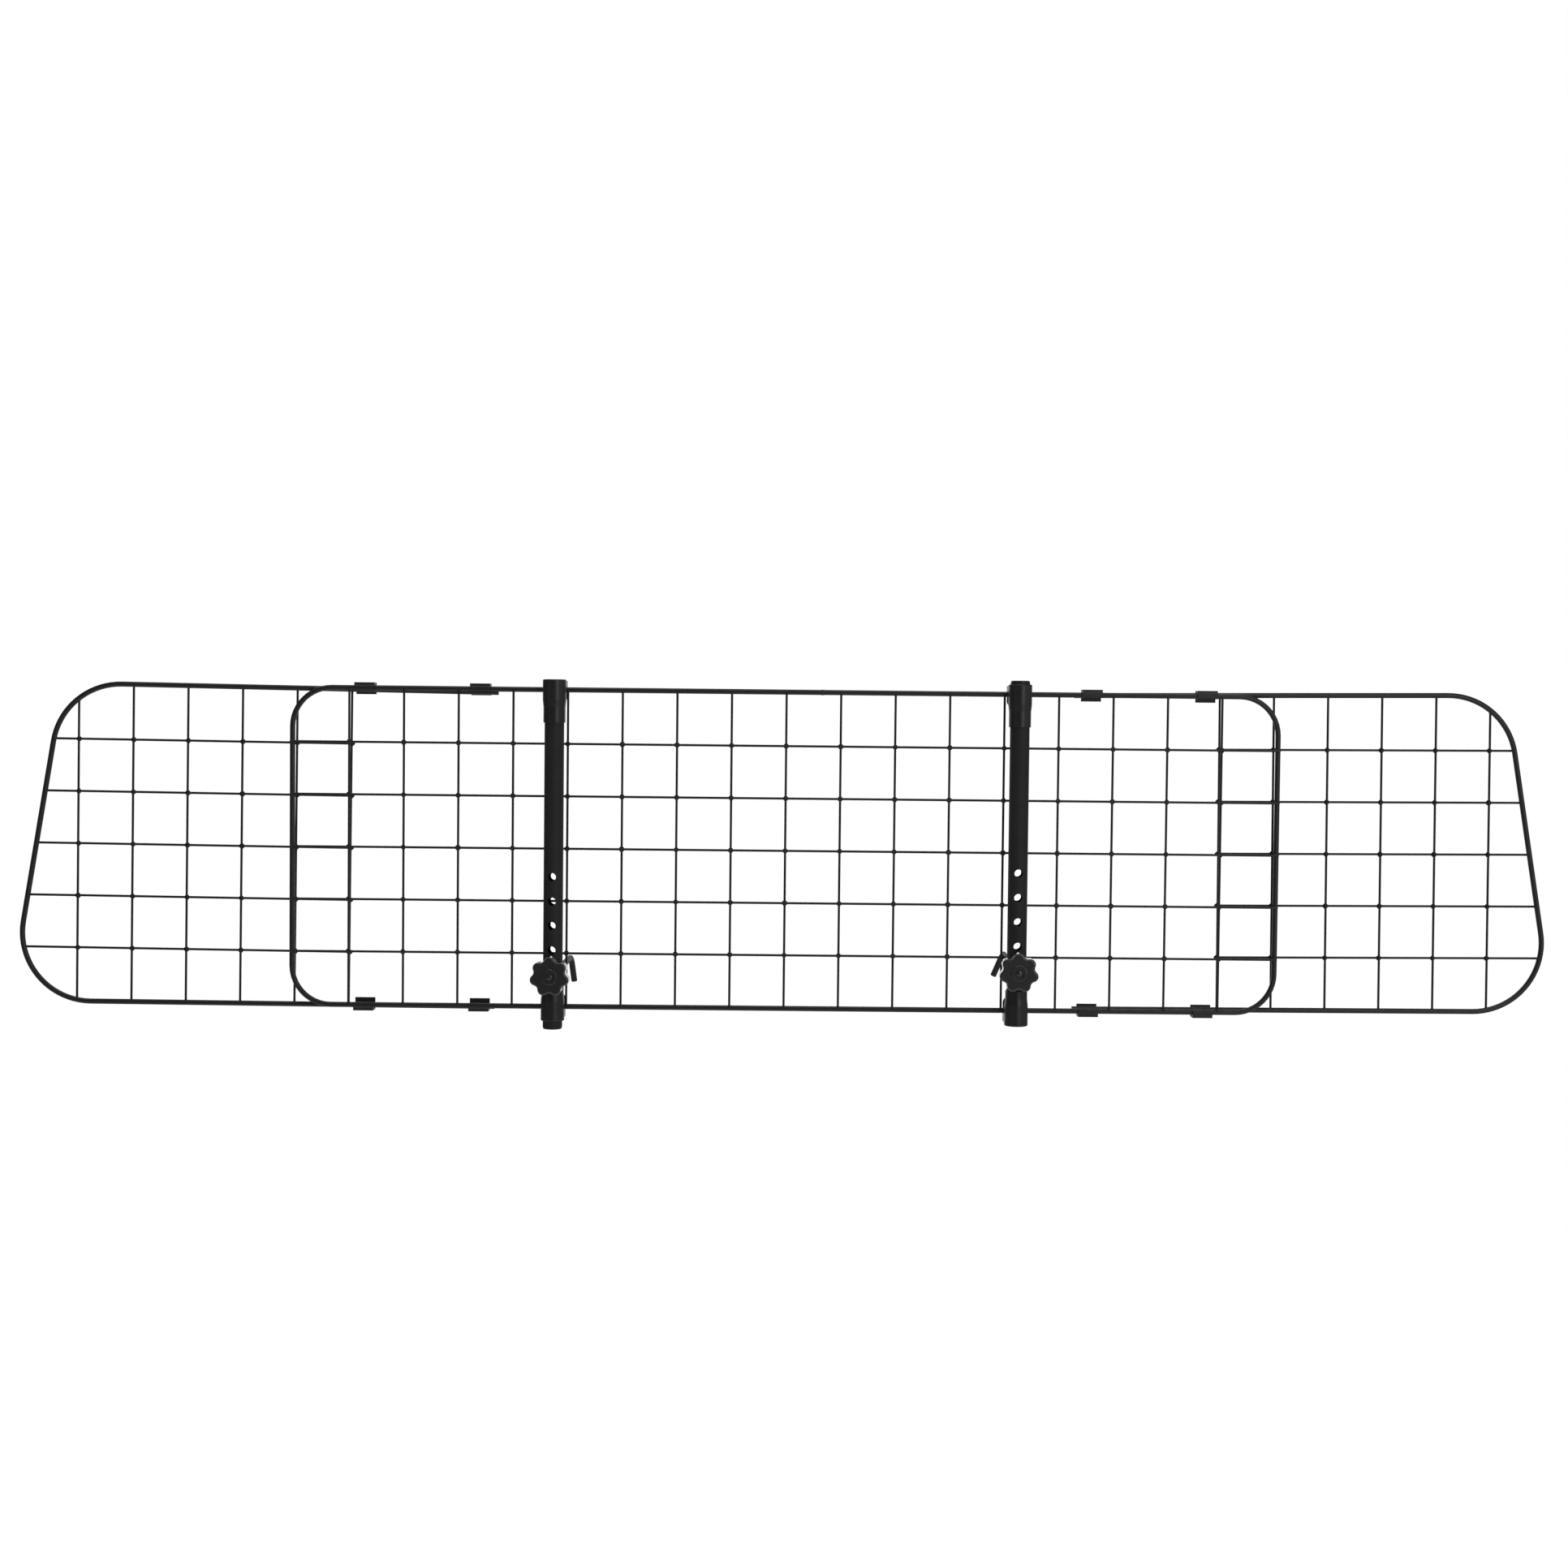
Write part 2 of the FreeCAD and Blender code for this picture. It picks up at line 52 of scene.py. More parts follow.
# Sizes that the details share with the solids
WIRE_R = 1.1 * MM
ROD_R = 2.5 * MM
CENTRE_UPRIGHTS = 17
SIDE_UPRIGHTS = 6
CROSSWIRES = 5
WIRE_OVERHANG = 1.4 * MM
WELD_DEPTH = 0.05 * MM
RAIL_END_X = 274.0 * MM
TOP_RAIL_Z = 150.25 * MM
BOLT_R = 3.0 * MM
BEND_R = 9.0 * MM
BOLT_CHAMFER = 0.8 * MM
THREAD_PITCH = 1.0 * MM
THREAD_LENGTH = 66.0 * MM
THREAD_DEPTH = 0.5 * MM
KNOB_DISH_DEPTH = 0.8 * MM

# Where the moulds of the knobs and the fittings closed
KNOB_PARTING_Y = -34.6 * MM
FITTING_PARTING_Y = -14.15 * MM
PARTING_HALF_WIDTH = 0.22 * MM
PARTING_HEIGHT = 0.06 * MM
MOULDED_EDGE_R = 0.45 * MM

# The lumps of a weld or a bead: half sizes along the three axes, and the outline's power
CROSSING_LUMP = ((3.0 * MM, 1.0 * MM, 3.0 * MM), 1.35)
FOOT_LUMP = ((1.65 * MM, 1.2 * MM, 1.7 * MM), 2.0)
TIP_LUMP = ((0.4 * MM, 1.13 * MM, 1.13 * MM), 2.0)
ROD_JOINT_LUMP = ((2.3 * MM, 0.9 * MM, 2.2 * MM), 1.6)
FOOT_INSET = 1.3 * MM
LUMP_SIZES = (0.92, 1.08)

# The seam of the centre frame's rod: its place, and its swell at each offset from there, in millimetres
SEAM_X = 34.0 * MM
SEAM_SWELLS = ((-2.6, -0.05), (-1.5, 0.08), (-0.5, 0.22), (0.5, 0.20), (1.4, 0.07), (2.4, -0.05))
SEAM_ROUGHNESS = 0.04
SEAM_LEAN = 0.25 * MM
SEAM_STEPS = 24

# Steps of a bolt's skin: round it, along each turn of its thread, and round its bend
BOLT_STEPS = 24
STEPS_PER_TURN = 8
BEND_STEPS = 16
THREAD_CREST = 0.2
SMOOTH_BOLT_ANGLE = 40

# The pip of a knob: its radius at each rise from its seat, in millimetres
PIP_SEAT_R = 3.1
PIP_SINK = 0.05 * MM
PIP_STEPS = 32
PIP_OUTLINE = ((0.15, 3.1), (0.45, 2.9), (0.72, 2.45), (0.92, 1.85), (1.05, 1.15), (1.11, 0.5), (1.12, 0.1))
SMOOTH_PIP_ANGLE = 50

# The photograph's camera: its focal length and width in pixels, its place in metres and its angles in degrees
FOCAL_PX = 2700.0
PHOTO_PX = 1932.0
SENSOR = 36.0
CAMERA_PLACE = (-18.90 * MM, -2074.87 * MM, 132.91 * MM)
CAMERA_YAW, CAMERA_PITCH, CAMERA_ROLL = -0.4756, -1.9233, -0.5873
CLIP_START, CLIP_END = 0.05, 60.0

# Each lamp's place, what it is aimed at, its size and the brightness of its face
MIDDLE = (0.0, 0.0, 0.0)
LAMPS = {
    "key": ((1.45, -2.6, 0.60), MIDDLE, (1.2, 2.3), 1.65),
    "wash": ((2.7, -0.7, 0.4), MIDDLE, (3.2, 2.2), 0.30),
    "fill": ((-2.6, -2.0, 0.6), MIDDLE, (1.4, 1.8), 0.15),
    "top": ((0.0, -0.3, 2.4), MIDDLE, (2.6, 1.2), 2.0),
    "backdrop": ((0.0, 2.6, 0.9), (0.0, 0.0, 0.9), (5.4, 3.2), 1.0),
}

# The brightness of the surroundings: on dull surfaces, in reflections and as seen by the camera
ROOM_LEVEL = 0.36
REFLECTED_LEVEL = 0.05
SEEN_LEVEL = 1.0

# The floor under the guard
FLOOR_Z = -2.5
FLOOR_HALF = 9.0

# How each panel hangs: the point that it is turned about, and its turn
HANGING = {
    "centre": (Vector((0, 0, 0)), Matrix.Identity(3)),
    "left": (Vector((-RAIL_END_X, 0, -2.2 * MM)), Matrix.Rotation(math.radians(0.45), 3, "Y")),
    "right": (Vector((RAIL_END_X, 0, 0.5 * MM)), Matrix.Rotation(math.radians(-0.35), 3, "Y")),
}

PARTS = bpy.data.collections.new("details")
bpy.context.scene.collection.children.link(PARTS)
chance = random.Random(11)


# Node helpers
class Shader:
    """A material with one main shader, and short calls to add nodes to it."""

    def __init__(self, name):
        self.material = bpy.data.materials.new(name)
        self.material.use_nodes = True
        self.tree = self.material.node_tree
        self.tree.nodes.clear()
        self.output = self.tree.nodes.new("ShaderNodeOutputMaterial")
        self.main = self.tree.nodes.new("ShaderNodeBsdfPrincipled")
        self.link(self.main.outputs[0], self.output.inputs["Surface"])
        coordinates = self.tree.nodes.new("ShaderNodeTexCoord")
        self.place = coordinates.outputs["Object"]

    def link(self, source, target):
        self.tree.links.new(source, target)

    def put(self, socket, value):
        """Link a value that comes from a node, or set a constant one."""
        if isinstance(value, bpy.types.NodeSocket):
            self.link(value, socket)
        else:
            socket.default_value = value

    def noise(self, scale, detail=2.0, rough=0.5, place=None, distortion=0.0):
        node = self.tree.nodes.new("ShaderNodeTexNoise")
        self.link(place or self.place, node.inputs["Vector"])
        node.inputs["Scale"].default_value = scale
        node.inputs["Detail"].default_value = detail
        node.inputs["Roughness"].default_value = rough
        node.inputs["Distortion"].default_value = distortion
        return node.outputs["Fac"]

    def cells(self, scale, place=None):
        node = self.tree.nodes.new("ShaderNodeTexVoronoi")
        self.link(place or self.place, node.inputs["Vector"])
        node.inputs["Scale"].default_value = scale
        return node.outputs["Distance"]

    def stretched(self, scale):
        """The place, stretched by a factor along each axis."""
        node = self.tree.nodes.new("ShaderNodeMapping")
        self.link(self.place, node.inputs["Vector"])
        node.inputs["Scale"].default_value = scale
        return node.outputs["Vector"]

    def spread(self, value, low, high, start=0.0, end=1.0):
        """A value brought from one range to another, and held within it."""
        node = self.tree.nodes.new("ShaderNodeMapRange")
        self.put(node.inputs["Value"], value)
        node.inputs["From Min"].default_value = start
        node.inputs["From Max"].default_value = end
        node.inputs["To Min"].default_value = low
        node.inputs["To Max"].default_value = high
        return node.outputs["Result"]

    def math(self, operation, first, second=0.0):
        node = self.tree.nodes.new("ShaderNodeMath")
        node.operation = operation
        self.put(node.inputs[0], first)
        self.put(node.inputs[1], second)
        return node.outputs[0]

    def blend(self, share, first, second):
        """A colour between two others."""
        node = self.tree.nodes.new("ShaderNodeMix")
        node.data_type = "RGBA"
        self.put(node.inputs["Factor"], share)
        self.put(node.inputs["A"], first)
        self.put(node.inputs["B"], second)
        return node.outputs["Result"]

    def bump(self, height, depth, under=None):
        """A surface relief of a depth in metres."""
        node = self.tree.nodes.new("ShaderNodeBump")
        node.inputs["Distance"].default_value = depth
        self.put(node.inputs["Height"], height)
        if under is not None:
            self.link(under, node.inputs["Normal"])
        return node.outputs["Normal"]

    def rounded(self, radius):
        """The surface direction with sharp edges rounded off."""
        node = self.tree.nodes.new("ShaderNodeBevel")
        node.inputs["Radius"].default_value = radius
        node.samples = 6
        return node.outputs["Normal"]

    def edges(self, soft):
        """How near a surface point is to a sharp edge, from 0 to 1."""
        sharp = self.tree.nodes.new("ShaderNodeNewGeometry")
        dot = self.tree.nodes.new("ShaderNodeVectorMath")
        dot.operation = "DOT_PRODUCT"
        self.link(soft, dot.inputs[0])
        self.link(sharp.outputs["Normal"], dot.inputs[1])
        return self.spread(dot.outputs["Value"], 1.0, 0.0, 0.90, 0.995)

    def line(self, depth_y, half_width):
        """A thin line round the surface at one depth, 1 in its middle and 0 beside it."""
        axes = self.tree.nodes.new("ShaderNodeSeparateXYZ")
        self.link(self.place, axes.inputs[0])
        away = self.math("ABSOLUTE", self.math("SUBTRACT", axes.outputs["Y"], depth_y))
        return self.spread(away, 1.0, 0.0, 0.0, half_width)


def grey(value, tint=0.0):
    return (value, value, value * (1.0 + tint), 1.0)


def coated_metal(name, dark, light, low_gloss, high_gloss, peel_scale, peel_depth, skin=0.12):
    """Black coating on steel: orange peel, faint sags and a few dull rub marks, under a glossier skin."""
    s = Shader(name)
    tone = s.spread(s.noise(45.0, 4.0), 0.0, 1.0, 0.35, 0.65)
    rubs = s.noise(420.0, 6.0, 0.7, place=s.stretched((1.0, 1.0, 0.25)))
    rub_mask = s.spread(rubs, 0.0, 1.0, 0.62, 0.74)
    colour = s.blend(tone, grey(dark, 0.04), grey(light, 0.04))
    s.put(s.main.inputs["Base Color"], s.blend(rub_mask, colour, grey(light * 1.7)))
    gloss = s.spread(s.noise(160.0, 5.0, 0.6), low_gloss, high_gloss, 0.3, 0.7)
    s.put(s.main.inputs["Roughness"], s.math("ADD", gloss, s.math("MULTIPLY", rub_mask, 0.16)))
    peel = s.noise(peel_scale, 2.0, 0.4)
    sag = s.noise(110.0, 1.0)
    relief = s.bump(peel, peel_depth)
    s.put(s.main.inputs["Normal"], s.bump(sag, peel_depth * 2.5, relief))
    s.main.inputs["IOR"].default_value = 1.5
    s.main.inputs["Coat Weight"].default_value = skin
    s.main.inputs["Coat Roughness"].default_value = 0.16
    return s.material


def moulded_plastic(name, dark, light, low_gloss, high_gloss, grain_scale, grain_depth,
                    parting_y=None, skin=0.0):
    """Black moulded plastic: an eroded grain, flow marks, softened edges with a painted highlight along them,
    and the line where its mould closed.

    Its skin is the share of the smooth face that lies over the grain.
    """
    s = Shader(name)
    soft = s.rounded(MOULDED_EDGE_R)
    edge = s.edges(soft)
    tone = s.spread(s.noise(90.0, 5.0, 0.6, distortion=0.6), 0.0, 1.0, 0.32, 0.68)
    speck = s.spread(s.noise(2600.0, 2.0), 0.0, 0.2, 0.55, 0.75)
    colour = s.blend(tone, grey(dark, 0.03), grey(light, 0.03))
    colour = s.blend(speck, colour, grey(light * 1.3))
    # Painted highlight: the base colour is made lighter near sharp edges, where a lit rim would show
    s.put(s.main.inputs["Base Color"], s.blend(s.math("MULTIPLY", edge, 0.3), colour, grey(light * 1.8)))
    gloss = s.spread(s.noise(240.0, 4.0, 0.6), low_gloss, high_gloss, 0.3, 0.7)
    s.put(s.main.inputs["Roughness"], s.math("SUBTRACT", gloss, s.math("MULTIPLY", edge, 0.08)))
    grain = s.math("ADD", s.noise(grain_scale, 3.0, 0.6), s.math("MULTIPLY", s.cells(grain_scale * 0.7), 0.5))
    relief = s.bump(grain, grain_depth, soft)
    if parting_y is not None:
        relief = s.bump(s.line(parting_y, PARTING_HALF_WIDTH), PARTING_HEIGHT, relief)
    s.put(s.main.inputs["Normal"], relief)
    s.main.inputs["IOR"].default_value = 1.49
    s.main.inputs["Coat Weight"].default_value = skin
    s.main.inputs["Coat Roughness"].default_value = 0.10
    return s.material


def turned_brass(name):
    """Brass with fine turning lines round its bore and its outside."""
    s = Shader(name)
    rings = s.noise(1.0, 2.0, place=s.stretched((60.0, 9000.0, 60.0)))
    tone = s.spread(s.noise(300.0, 4.0), 0.0, 1.0, 0.3, 0.7)
    colour = s.blend(tone, (0.50, 0.36, 0.15, 1.0), (0.68, 0.52, 0.25, 1.0))
    s.put(s.main.inputs["Base Color"], colour)
    s.main.inputs["Metallic"].default_value = 1.0
    s.put(s.main.inputs["Roughness"], s.spread(rings, 0.24, 0.42, 0.3, 0.7))
    s.put(s.main.inputs["Normal"], s.bump(rings, 0.01 * MM))
    return s.material


rod_coat = coated_metal("black_rod_coat", 0.0125, 0.0165, 0.36, 0.46, 800.0, 0.016 * MM)
wire_coat = coated_metal("black_wire_coat", 0.0060, 0.0095, 0.36, 0.46, 1300.0, 0.010 * MM)
tube_coat = coated_metal("black_tube_coat", 0.0115, 0.0145, 0.62, 0.70, 620.0, 0.018 * MM, 0.0)
bolt_coat = coated_metal("black_bolt_coat", 0.0140, 0.0185, 0.58, 0.68, 900.0, 0.008 * MM, 0.0)
clip_plastic = moulded_plastic("black_clip_plastic", 0.0165, 0.0215, 0.40, 0.50, 2400.0, 0.010 * MM)
fitting_plastic = moulded_plastic(
    "black_fitting_plastic", 0.0150, 0.0195, 0.31, 0.38, 2000.0, 0.009 * MM, FITTING_PARTING_Y)
knob_plastic = moulded_plastic(
    "black_knob_plastic", 0.0175, 0.0225, 0.31, 0.38, 2800.0, 0.008 * MM, KNOB_PARTING_Y, 1.0)
brass = turned_brass("turned_brass")

MATERIALS = {
    "coated_rod": rod_coat,
    "coated_wire": wire_coat,
    "coated_tube": tube_coat,
    "coated_bolt": bolt_coat,
    "clip_plastic": clip_plastic,
    "fitting_plastic": fitting_plastic,
    "knob_plastic": knob_plastic,
    "insert_brass": brass,
}
for subpart in record["subparts"]:
    for slot in nodes[subpart["node"]].material_slots:
        slot.material = MATERIALS[subpart["material_slot"]]


# Mesh helpers
def piece(name, shape, slot, body, smooth_angle=None):
    """A detail made from vertices and faces, which rides on a body."""
    vertices, faces = shape
    mesh = bpy.data.meshes.new(name)
    mesh.from_pydata([tuple(v) for v in vertices], [], faces)
    mesh.validate()
    mesh.shade_smooth()
    obj = bpy.data.objects.new(name, mesh)
    PARTS.objects.link(obj)
    mesh.materials.append(MATERIALS[slot])
    if smooth_angle is not None:
        mesh.set_sharp_from_angle(angle=math.radians(smooth_angle))
    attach(obj, body)
    return obj


def swept(rings):
    """A closed skin over a row of rings, each a list of points in the same order."""
    around = len(rings[0])
    vertices = [point for ring in rings for point in ring]
    faces = []
    for row in range(len(rings) - 1):
        a = row * around
        b = a + around
        for step in range(around):
            following = (step + 1) % around
            faces.append((a + step, a + following, b + following, b + step))
    last = (len(rings) - 1) * around
    faces.append(tuple(reversed(range(around))))
    faces.append(tuple(range(last, last + around)))
    return vertices, faces


def pillow(semi, power, rings=6, around=16):
    """A rounded lump about zero, pinched toward its four tips when power is under 2."""
    vertices = [Vector((0, -semi[1], 0))]
    for ring in range(1, rings):
        latitude = -math.pi / 2 + math.pi * ring / rings
        y = semi[1] * math.sin(latitude)
        share = math.cos(latitude)
        for step in range(around):
            angle = 2 * math.pi * step / around
            c, s = math.cos(angle), math.sin(angle)
            reach = (abs(c) ** power + abs(s) ** power) ** (-1 / power)
            vertices.append(Vector((semi[0] * share * reach * c, y, semi[2] * share * reach * s)))
    vertices.append(Vector((0, semi[1], 0)))
    faces = []
    for step in range(around):
        following = (step + 1) % around
        faces.append((0, 1 + step, 1 + following))
        last = 1 + (rings - 2) * around
        faces.append((len(vertices) - 1, last + following, last + step))
        for ring in range(rings - 2):
            a = 1 + ring * around
            b = a + around
            faces.append((a + step, b + step, b + following, a + following))
    return vertices, faces


def repeated(shape, spots, turn):
    """Copies of a lump at each spot, turned alike and each a little different in size."""
    vertices, faces = [], []
    for spot in spots:
        base = len(vertices)
        size = Matrix.Diagonal([chance.uniform(*LUMP_SIZES) for axis in range(3)])
        for v in shape[0]:
            vertices.append(turn @ (size @ v) + spot)
        faces += [tuple(i + base for i in face) for face in shape[1]]
    return vertices, faces


def together(shapes):
    vertices, faces = [], []
    for shape in shapes:
        base = len(vertices)
        vertices += shape[0]
        faces += [tuple(i + base for i in face) for face in shape[1]]
    return vertices, faces


# Weld marks of a mesh panel
def level_points(node, panel):
    """A node's points with its panel turned back level."""
    pivot, turn = HANGING[panel]
    back = turn.transposed()
    return [pivot + back @ (v.co - pivot) for v in nodes[node].data.vertices]


def extent(points, axis):
    places = [point[axis] for point in points]
    return min(places), max(places)


def spaced(points, axis, count):
    """The axes of evenly spaced wires, from the two outsides of their points."""
    low, high = extent(points, axis)
    pitch = (high - low - 2 * WIRE_R) / (count - 1)
    return [low + WIRE_R + pitch * item for item in range(count)]


def along(points, axis, place):
    """The points of the wire whose axis is at a place."""
    return [point for point in points if abs(point[axis] - place) < 1.2 * WIRE_R]


def make_welds(panel, upright_count, rod_sides):
    """The lumps where wires cross or end on a rod, and the beads of coating on the crosswires' tips."""
    pivot, turn = HANGING[panel]
    uprights = level_points(panel + "_uprights", panel)
    crosswires = level_points(panel + "_crosswires", panel)
    columns = spaced(uprights, 0, upright_count)
    rows = spaced(crosswires, 2, CROSSWIRES)
    crosswire_y = sum(extent(crosswires, 1)) / 2
    inward = 1 if crosswire_y < 0 else -1
    upright_y = crosswire_y + inward * (2 * WIRE_R - WELD_DEPTH)
    joint_y = (crosswire_y + upright_y) / 2
    rod_joint_y = crosswire_y + inward * WIRE_R
    crossings = [Vector((x, joint_y, z)) for x in columns for z in rows]
    feet, tips, rod_joints = [], [], []
    for x in columns:
        low, high = extent(along(uprights, 0, x), 2)
        feet.append(Vector((x, upright_y, low + FOOT_INSET)))
        feet.append(Vector((x, upright_y, high - FOOT_INSET)))
    for z in rows:
        ends = extent(along(crosswires, 2, z), 0)
        tips += [Vector((x, crosswire_y, z)) for x in ends]
        for end in rod_sides:
            x = ends[0] + WIRE_OVERHANG if end < 0 else ends[1] - WIRE_OVERHANG
            rod_joints.append(Vector((x, rod_joint_y, z)))
    lumps = (
        (crossings, CROSSING_LUMP),
        (feet, FOOT_LUMP),
        (tips, TIP_LUMP),
        (rod_joints, ROD_JOINT_LUMP),
    )
    shapes = []
    for spots, (semi, power) in lumps:
        hung = [pivot + turn @ (spot - pivot) for spot in spots]
        shapes.append(repeated(pillow(semi, power), hung, turn))
    piece(panel + "_mesh_welds", together(shapes), "coated_wire", panel + "_panel")


make_welds("centre", CENTRE_UPRIGHTS, (-1, 1))
for side, sign in SIDES.items():
    make_welds(side, SIDE_UPRIGHTS, (sign,))


# The upset seam where the centre frame's rod was closed, just right of the middle of its top rail
def make_seam():
    """A low ring of metal round the rod, a little uneven and leaning."""
    rings = []
    for offset, swell in SEAM_SWELLS:
        ring = []
        for step in range(SEAM_STEPS):
            angle = 2 * math.pi * step / SEAM_STEPS
            radius = ROD_R + (swell + SEAM_ROUGHNESS * math.sin(3 * angle + offset)) * MM
            lean = SEAM_LEAN * math.sin(2 * angle)
            ring.append(Vector((SEAM_X + offset * MM + lean, radius * math.cos(angle),
                                TOP_RAIL_Z + radius * math.sin(angle))))
        rings.append(ring)
    piece("top_rail_seam", swept(rings), "coated_rod", "centre_panel")


make_seam()


# Hook bolts with their rolled threads
def circle(centre, across, beside, radii):
    """A ring of points about a centre, with one radius for each."""
    count = len(radii)
    ring = []
    for step, radius in enumerate(radii):
        angle = 2 * math.pi * step / count
        ring.append(centre + radius * (math.cos(angle) * across + math.sin(angle) * beside))
    return ring


def thread_radius(reach, angle):
    """The bolt's radius at a distance from its front end and an angle round it."""
    turns = (reach / THREAD_PITCH - angle / (2 * math.pi)) % 1.0
    height = min(1.0, max(0.0, (abs(2 * turns - 1) - THREAD_CREST) / (1 - 2 * THREAD_CREST)))
    fade = min(1.0, (THREAD_LENGTH - reach) / (2 * THREAD_PITCH))
    return min(BOLT_R - THREAD_DEPTH * (1 - height) * fade, BOLT_R - BOLT_CHAMFER + reach)


def make_bolt(side):
    """The hook bolt, threaded from its front end, along the axes that the record gives for it."""
    joint = joints[side + "_knob_turn"]
    mount = mounts[side + "_hook_leg"]
    back, leg = Vector(joint["axis"]).normalized(), Vector(mount["axis"]).normalized()
    start, foot = Vector(joint["pos_m"]), Vector(mount["pos_m"])
    corner = intersect_line_line(start, start + back, foot, foot + leg)[0]
    solid = nodes[side + "_hook_bolt"].data.vertices
    back_reach = extent([((v.co - corner).dot(back),) for v in solid], 0)
    leg_reach = extent([((v.co - corner).dot(leg),) for v in solid], 0)
    if abs(back_reach[1]) > abs(back_reach[0]):
        back, back_reach = -back, (-back_reach[1], -back_reach[0])
    if abs(leg_reach[0]) > abs(leg_reach[1]):
        leg, leg_reach = -leg, (-leg_reach[1], -leg_reach[0])
    leg = (leg - back * leg.dot(back)).normalized()
    beside = back.cross(leg)
    front = corner + back * back_reach[0]
    rings = []
    for item in range(round(THREAD_LENGTH / THREAD_PITCH * STEPS_PER_TURN) + 1):
        reach = item * THREAD_PITCH / STEPS_PER_TURN
        radii = [thread_radius(reach, 2 * math.pi * step / BOLT_STEPS) for step in range(BOLT_STEPS)]
        rings.append(circle(front + back * reach, leg, beside, radii))
    plain = [BOLT_R] * BOLT_STEPS
    centre = corner + (leg - back) * BEND_R
    for item in range(BEND_STEPS + 1):
        bend = math.pi / 2 * item / BEND_STEPS
        across = leg * math.cos(bend) - back * math.sin(bend)
        rings.append(circle(centre - across * BEND_R, across, beside, plain))
    tip = corner + leg * leg_reach[1]
    rings.append(circle(tip - leg * BOLT_CHAMFER, -back, beside, plain))
    rings.append(circle(tip, -back, beside, [BOLT_R - BOLT_CHAMFER] * BOLT_STEPS))
    bolt = piece(side + "_threaded_hook_bolt", swept(rings), "coated_bolt", side + "_hook", SMOOTH_BOLT_ANGLE)
    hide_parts(side + "_hook_bolt")


# The rounded pip in the dish of each knob
def make_pip(side):
    """A low dome on the axis that the record gives for the knob."""
    joint = joints[side + "_knob_turn"]
    back, start = Vector(joint["axis"]).normalized(), Vector(joint["pos_m"])
    if back.y < 0:
        back = -back
    face = min((v.co - start).dot(back) for v in nodes[side + "_knob"].data.vertices)
    seat = start + back * (face + KNOB_DISH_DEPTH + PIP_SINK)
    across = back.cross(Vector((0, 0, 1))).normalized()
    beside = back.cross(across)
    rings = [circle(seat, beside, across, [PIP_SEAT_R * MM] * PIP_STEPS)]
    for rise, radius in PIP_OUTLINE:
        rings.append(circle(seat - back * rise * MM, beside, across, [radius * MM] * PIP_STEPS))
    piece(side + "_knob_pip", swept(rings), "knob_plastic", side + "_knob", SMOOTH_PIP_ANGLE)


for side in SIDES:
    make_bolt(side)
    make_pip(side)


# Camera at the photograph's place
camera_data = bpy.data.cameras.new("camera")
camera_data.sensor_width = SENSOR
camera_data.sensor_fit = "HORIZONTAL"
camera_data.lens = FOCAL_PX / PHOTO_PX * SENSOR
camera_data.clip_start = CLIP_START
camera_data.clip_end = CLIP_END
camera = bpy.data.objects.new("camera", camera_data)
yaw, pitch, roll = (math.radians(angle) for angle in (CAMERA_YAW, CAMERA_PITCH, CAMERA_ROLL))
turn = Matrix.Rotation(yaw, 3, "Z") @ Matrix.Rotation(pitch, 3, "X") @ Matrix.Rotation(roll, 3, "Y")
right, forward, up = turn.col[0], turn.col[1], turn.col[2]
pose = Matrix((right, up, -forward)).transposed().to_4x4()
pose.translation = Vector(CAMERA_PLACE)
camera.matrix_world = pose
bpy.context.scene.collection.objects.link(camera)
bpy.context.scene.camera = camera


# Lights and the white surroundings
def softbox(name, spot, target, size, level):
    """An area lamp aimed at a point. Its level is the brightness of its face."""
    lamp = bpy.data.lights.new(name, "AREA")
    lamp.shape = "RECTANGLE"
    lamp.size, lamp.size_y = size
    lamp.energy = level * math.pi * size[0] * size[1]
    obj = bpy.data.objects.new(name, lamp)
    obj.location = spot
    obj.rotation_euler = (Vector(target) - Vector(spot)).to_track_quat("-Z", "Y").to_euler()
    bpy.context.scene.collection.objects.link(obj)


for name, (spot, target, size, level) in LAMPS.items():
    softbox(name, spot, target, size, level)



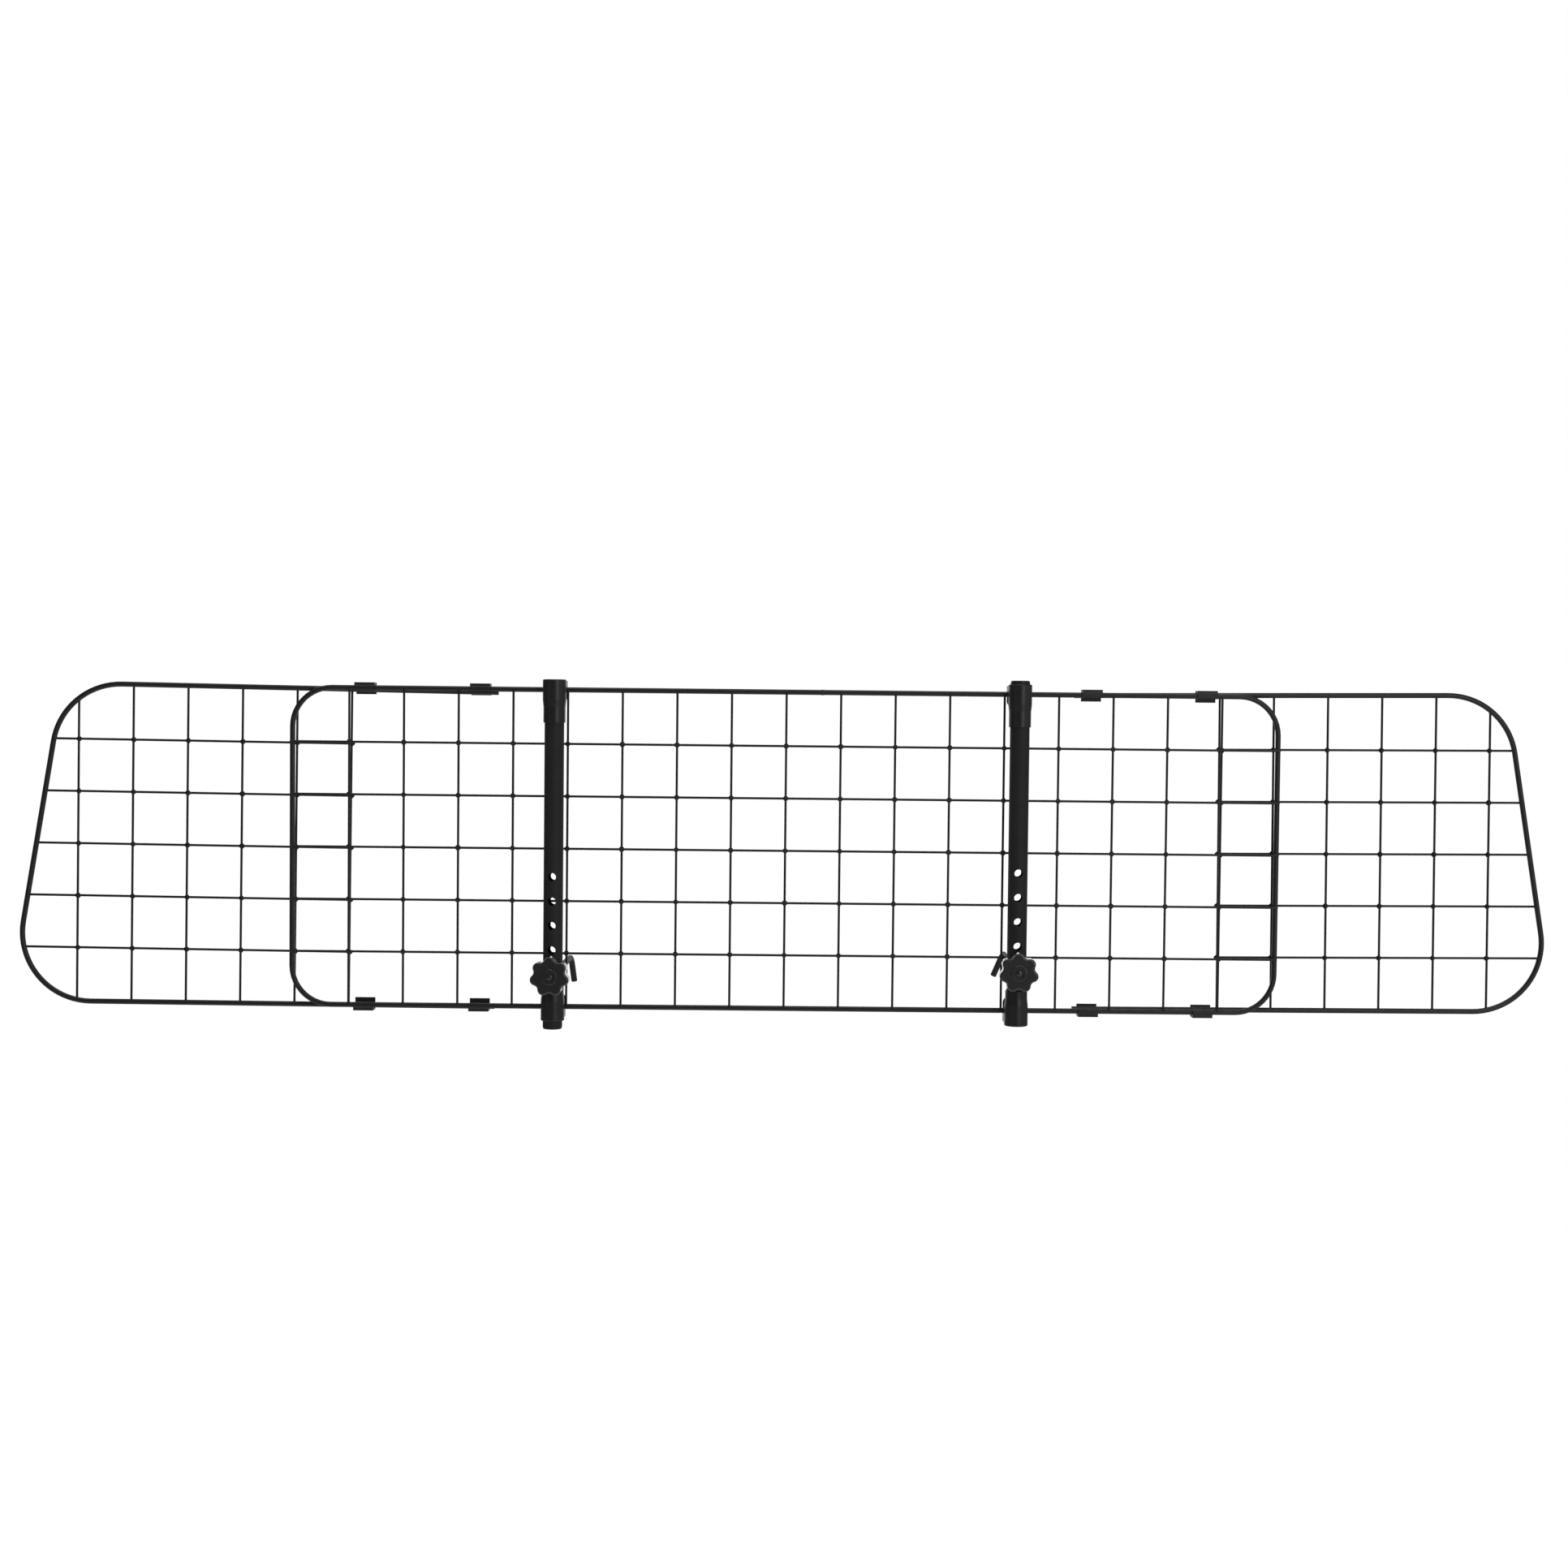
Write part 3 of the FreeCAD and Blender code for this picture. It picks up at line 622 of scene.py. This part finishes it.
def make_world():
    """Surroundings that the camera sees white, and that are darker in reflections."""
    world = bpy.data.worlds.new("studio")
    bpy.context.scene.world = world
    world.use_nodes = True
    tree = world.node_tree
    tree.nodes.clear()

    def background(level):
        node = tree.nodes.new("ShaderNodeBackground")
        node.inputs["Color"].default_value = grey(level)
        return node.outputs[0]

    def either(share, first, second):
        node = tree.nodes.new("ShaderNodeMixShader")
        for place, source in enumerate((share, first, second)):
            tree.links.new(source, node.inputs[place])
        return node.outputs[0]

    rays = tree.nodes.new("ShaderNodeLightPath")
    seen = tree.nodes.new("ShaderNodeMath")
    seen.operation = "MAXIMUM"
    tree.links.new(rays.outputs["Is Camera Ray"], seen.inputs[0])
    tree.links.new(rays.outputs["Is Transmission Ray"], seen.inputs[1])
    unseen = either(rays.outputs["Is Glossy Ray"], background(ROOM_LEVEL), background(REFLECTED_LEVEL))
    surface = either(seen.outputs[0], unseen, background(SEEN_LEVEL))
    world_out = tree.nodes.new("ShaderNodeOutputWorld")
    tree.links.new(surface, world_out.inputs["Surface"])


make_world()

# Pale floor, white to the camera
floor_mesh = bpy.data.meshes.new("floor")
corners = [(-1, -1), (1, -1), (1, 1), (-1, 1)]
floor_mesh.from_pydata([(x * FLOOR_HALF, y * FLOOR_HALF, FLOOR_Z) for x, y in corners], [], [(0, 1, 2, 3)])
floor = bpy.data.objects.new("floor", floor_mesh)
bpy.context.scene.collection.objects.link(floor)
pale = Shader("pale_floor")
pale.main.inputs["Base Color"].default_value = grey(0.9)
pale.main.inputs["Roughness"].default_value = 0.9
glow = pale.tree.nodes.new("ShaderNodeEmission")
floor_rays = pale.tree.nodes.new("ShaderNodeLightPath")
pale.link(floor_rays.outputs["Is Camera Ray"], glow.inputs["Strength"])
total = pale.tree.nodes.new("ShaderNodeAddShader")
pale.link(pale.main.outputs[0], total.inputs[0])
pale.link(glow.outputs[0], total.inputs[1])
pale.link(total.outputs[0], pale.output.inputs["Surface"])
floor_mesh.materials.append(pale.material)

bpy.context.scene.view_settings.view_transform = "Standard"
